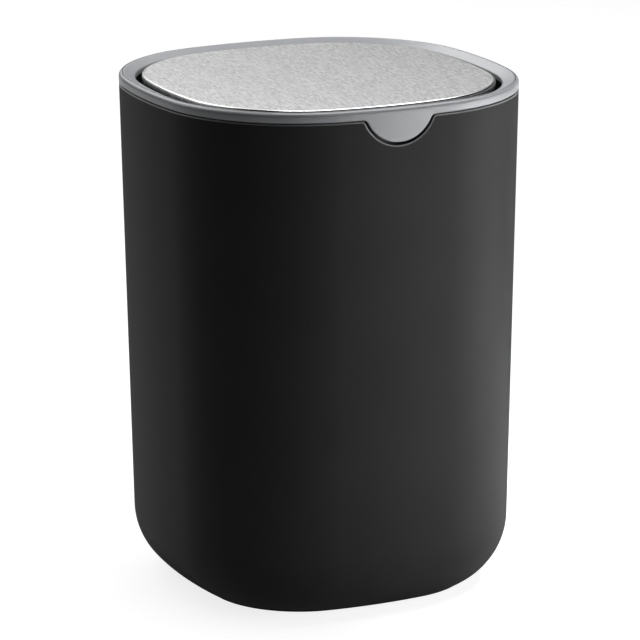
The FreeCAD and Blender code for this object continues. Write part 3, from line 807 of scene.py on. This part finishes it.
# Counterweight: a bar of rolled steel under the carrier, which swings the lid level again.
# It is cut to length with broken edges, dull from the mill, and screwed to the two posts from below.
mill_steel = plated_steel(
    "mill_steel", dark=(0.17, 0.165, 0.16), light=(0.30, 0.295, 0.29), roughness=(0.5, 0.36), cloud=70.0,
)
refinished("counterweight", mill_steel)
WEIGHT_SCREW_SPACING = (76.0, 0.0)
WEIGHT_SCREW_SEAT = 200.4
WEIGHT_SCREW = {"radius": 1.4, "length": 21.0, "head_radius": 2.9, "head": 1.8}
weight_screws = seated_screws(
    "weight_screws", WEIGHT_SCREW_SPACING, WEIGHT_SCREW_SEAT, zinc_plate, **WEIGHT_SCREW,
)
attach(weight_screws, "lid")
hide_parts("counterweight_screws")

# Floor: a plain pale studio floor, large enough to fill every view.
# It shows white to the camera and in reflections, and it keeps the bin's soft shadow.
# In reflections its glow is painted darker close to the foot, a painted shadow where the bin keeps the light
# out.
FLOOR_HALF = 8.0
FLOOR_LEVEL = -0.0002
FOOT_SHADE = (0.05, 0.12)
FLOOR_PAINT = (0.4, 0.4, 0.4, 1.0)
FLOOR_GLOW = 0.825
WHITE = (1.0, 1.0, 1.0, 1.0)
floor_mesh = bpy.data.meshes.new("studio_floor")
floor_corners = [
    (x * FLOOR_HALF, y * FLOOR_HALF, FLOOR_LEVEL) for x, y in ((-1, -1), (1, -1), (1, 1), (-1, 1))
]
floor_mesh.from_pydata(floor_corners, [], [(0, 1, 2, 3)])
studio_floor = bpy.data.objects.new("studio_floor", floor_mesh)
bpy.context.scene.collection.objects.link(studio_floor)
floor_white = bpy.data.materials.new("floor_white")
floor_white.use_nodes = True
floor_tree = floor_white.node_tree
floor_tree.nodes.clear()
floor_paint = joined_node(floor_tree, "ShaderNodeBsdfDiffuse", {"Color": FLOOR_PAINT})
seen = joined_node(floor_tree, "ShaderNodeLightPath", {})
floor_place = joined_node(floor_tree, "ShaderNodeTexCoord", {})
reach = joined_node(floor_tree, "ShaderNodeVectorMath", {
    0: floor_place.outputs["Object"],
}, operation="LENGTH")
# Painted shadow: the glow seen in reflections fades out towards the foot.
opened = joined_node(floor_tree, "ShaderNodeMapRange", {
    "Value": reach.outputs["Value"], "From Min": FOOT_SHADE[0], "From Max": FOOT_SHADE[1],
})
mirrored = joined_node(floor_tree, "ShaderNodeMath", {
    0: seen.outputs["Is Glossy Ray"], 1: opened.outputs[0],
}, operation="MULTIPLY")
straight = joined_node(floor_tree, "ShaderNodeMath", {
    0: seen.outputs["Is Camera Ray"], 1: mirrored.outputs[0],
}, operation="MAXIMUM")
through = joined_node(floor_tree, "ShaderNodeMath", {
    0: straight.outputs[0], 1: seen.outputs["Is Transmission Ray"],
}, operation="MAXIMUM")
share = joined_node(floor_tree, "ShaderNodeMath", {
    0: through.outputs[0], 1: FLOOR_GLOW,
}, operation="MULTIPLY")
floor_glow = joined_node(floor_tree, "ShaderNodeEmission", {"Color": WHITE, "Strength": share.outputs[0]})
floor_both = joined_node(floor_tree, "ShaderNodeAddShader", {
    0: floor_paint.outputs[0], 1: floor_glow.outputs[0],
})
joined_node(floor_tree, "ShaderNodeOutputMaterial", {"Surface": floor_both.outputs[0]})
floor_mesh.materials.append(floor_white)

# Studio light: large soft boxes far behind the bin, and smaller ones close over the rim and at its right.
# Three more hang over the floor at the right and light mainly the floor, which the black shell mirrors there.
BIN_MIDDLE = Vector((0.0, 0.0, 0.11))
RIM_MIDDLE = Vector((0.0, 0.0, 0.232))


def away(aim, turn, rise, distance):
    """A point at a turn from the front, a rise above level and a distance, seen from the aim."""
    a, e = math.radians(turn), math.radians(rise)
    return aim + distance * Vector((math.sin(a) * math.cos(e), -math.cos(a) * math.cos(e), math.sin(e)))


def soft_box(name, place, aim, width, height, watts, spread=180.0):
    """A soft box at a place, turned to its aim."""
    lamp = bpy.data.lights.new(name, "AREA")
    lamp.shape = "RECTANGLE"
    lamp.size = width
    lamp.size_y = height
    lamp.energy = watts
    lamp.spread = math.radians(spread)
    box = bpy.data.objects.new(name, lamp)
    bpy.context.scene.collection.objects.link(box)
    facing = (place - aim).to_track_quat("Z", "Y").to_matrix().to_4x4()
    box.matrix_world = Matrix.Translation(place) @ facing


for name, aim, turn, rise, distance, width, height, watts in (
    ("back_left_low", BIN_MIDDLE, -178.8, 25.0, 1.7, 0.9, 0.8, 2.7),
    ("back_left_high", BIN_MIDDLE, -174.8, 58.0, 1.7, 0.9, 0.8, 0.6),
    ("back_high", BIN_MIDDLE, 170.2, 38.0, 1.7, 0.8, 0.42, 4.19),
    ("back_low", BIN_MIDDLE, 155.2, 28.0, 1.7, 0.9, 0.8, 1.2),
    ("back_right", BIN_MIDDLE, 135.2, 44.0, 1.7, 0.9, 0.6, 3.2),
    ("left_high", RIM_MIDDLE, -144.8, 40.0, 0.7, 0.7, 0.5, 2.0),
    ("right_high", RIM_MIDDLE, 65.2, 66.0, 0.26, 0.2, 0.2, 0.66),
    ("top", RIM_MIDDLE, 155.2, 87.0, 0.6, 0.2, 0.2, 1.5),
    ("right_front", BIN_MIDDLE, 35.2, 0.0, 0.5, 0.4, 0.3, 1.5),
    ("right_side", BIN_MIDDLE, 65.2, 0.0, 0.5, 0.4, 0.3, 1.2),
):
    soft_box(name, away(aim, turn, rise, distance), aim, width, height, watts)
for name, turn, reach, level, width, watts, spread in (
    ("floor_far", 65.2, 0.62, 0.5, 0.5, 3.93, 70.0),
    ("floor_front", 50.2, 0.38, 0.4, 0.3, 2.2, 60.0),
    ("floor_side", 80.2, 0.38, 0.4, 0.3, 1.87, 60.0),
):
    spot = away(Vector((0.0, 0.0, level)), turn, 0.0, reach)
    soft_box(name, spot, spot - Vector((0.0, 0.0, 1.0)), width, width, watts, spread)
world = bpy.data.worlds.new("studio_air")
world.use_nodes = True
world.node_tree.nodes["Background"].inputs["Color"].default_value = (0.0, 0.0, 0.0, 1.0)
bpy.context.scene.world = world
bpy.context.scene.view_settings.view_transform = "Standard"

# Camera: a long lens a little above the rim, turned to the left of the finger tab.
# Its place was worked out from the outlines of the shell, the ring and the lid.
CAMERA_TURN = -0.433
CAMERA_RISE = 0.2557
CAMERA_DISTANCE = 1.9484
CAMERA_ROLL = -0.004
CAMERA_LENS = 240.4
CAMERA_FOCAL_PIXELS = 4273.0
CAMERA_AIM = (1.05 / CAMERA_FOCAL_PIXELS, 16.286 / CAMERA_FOCAL_PIXELS)
camera_data = bpy.data.cameras.new("photo_camera")
camera_data.sensor_width = 36.0
camera_data.lens = CAMERA_LENS
camera_data.clip_end = 100.0
camera = bpy.data.objects.new("photo_camera", camera_data)
bpy.context.scene.collection.objects.link(camera)
back = Vector((
    math.sin(CAMERA_TURN) * math.cos(CAMERA_RISE),
    -math.cos(CAMERA_TURN) * math.cos(CAMERA_RISE),
    math.sin(CAMERA_RISE),
))
level = Vector((math.cos(CAMERA_TURN), math.sin(CAMERA_TURN), 0.0))
upright = back.cross(level)
right = level * math.cos(CAMERA_ROLL) + upright * math.sin(CAMERA_ROLL)
up = upright * math.cos(CAMERA_ROLL) - level * math.sin(CAMERA_ROLL)
seat = BIN_MIDDLE + back * CAMERA_DISTANCE
back = (back - right * CAMERA_AIM[0] - up * CAMERA_AIM[1]).normalized()
right = (right - back * right.dot(back)).normalized()
up = back.cross(right)
axes = Matrix((right, up, back)).transposed().to_4x4()
camera.matrix_world = Matrix.Translation(seat) @ axes
bpy.context.scene.camera = camera
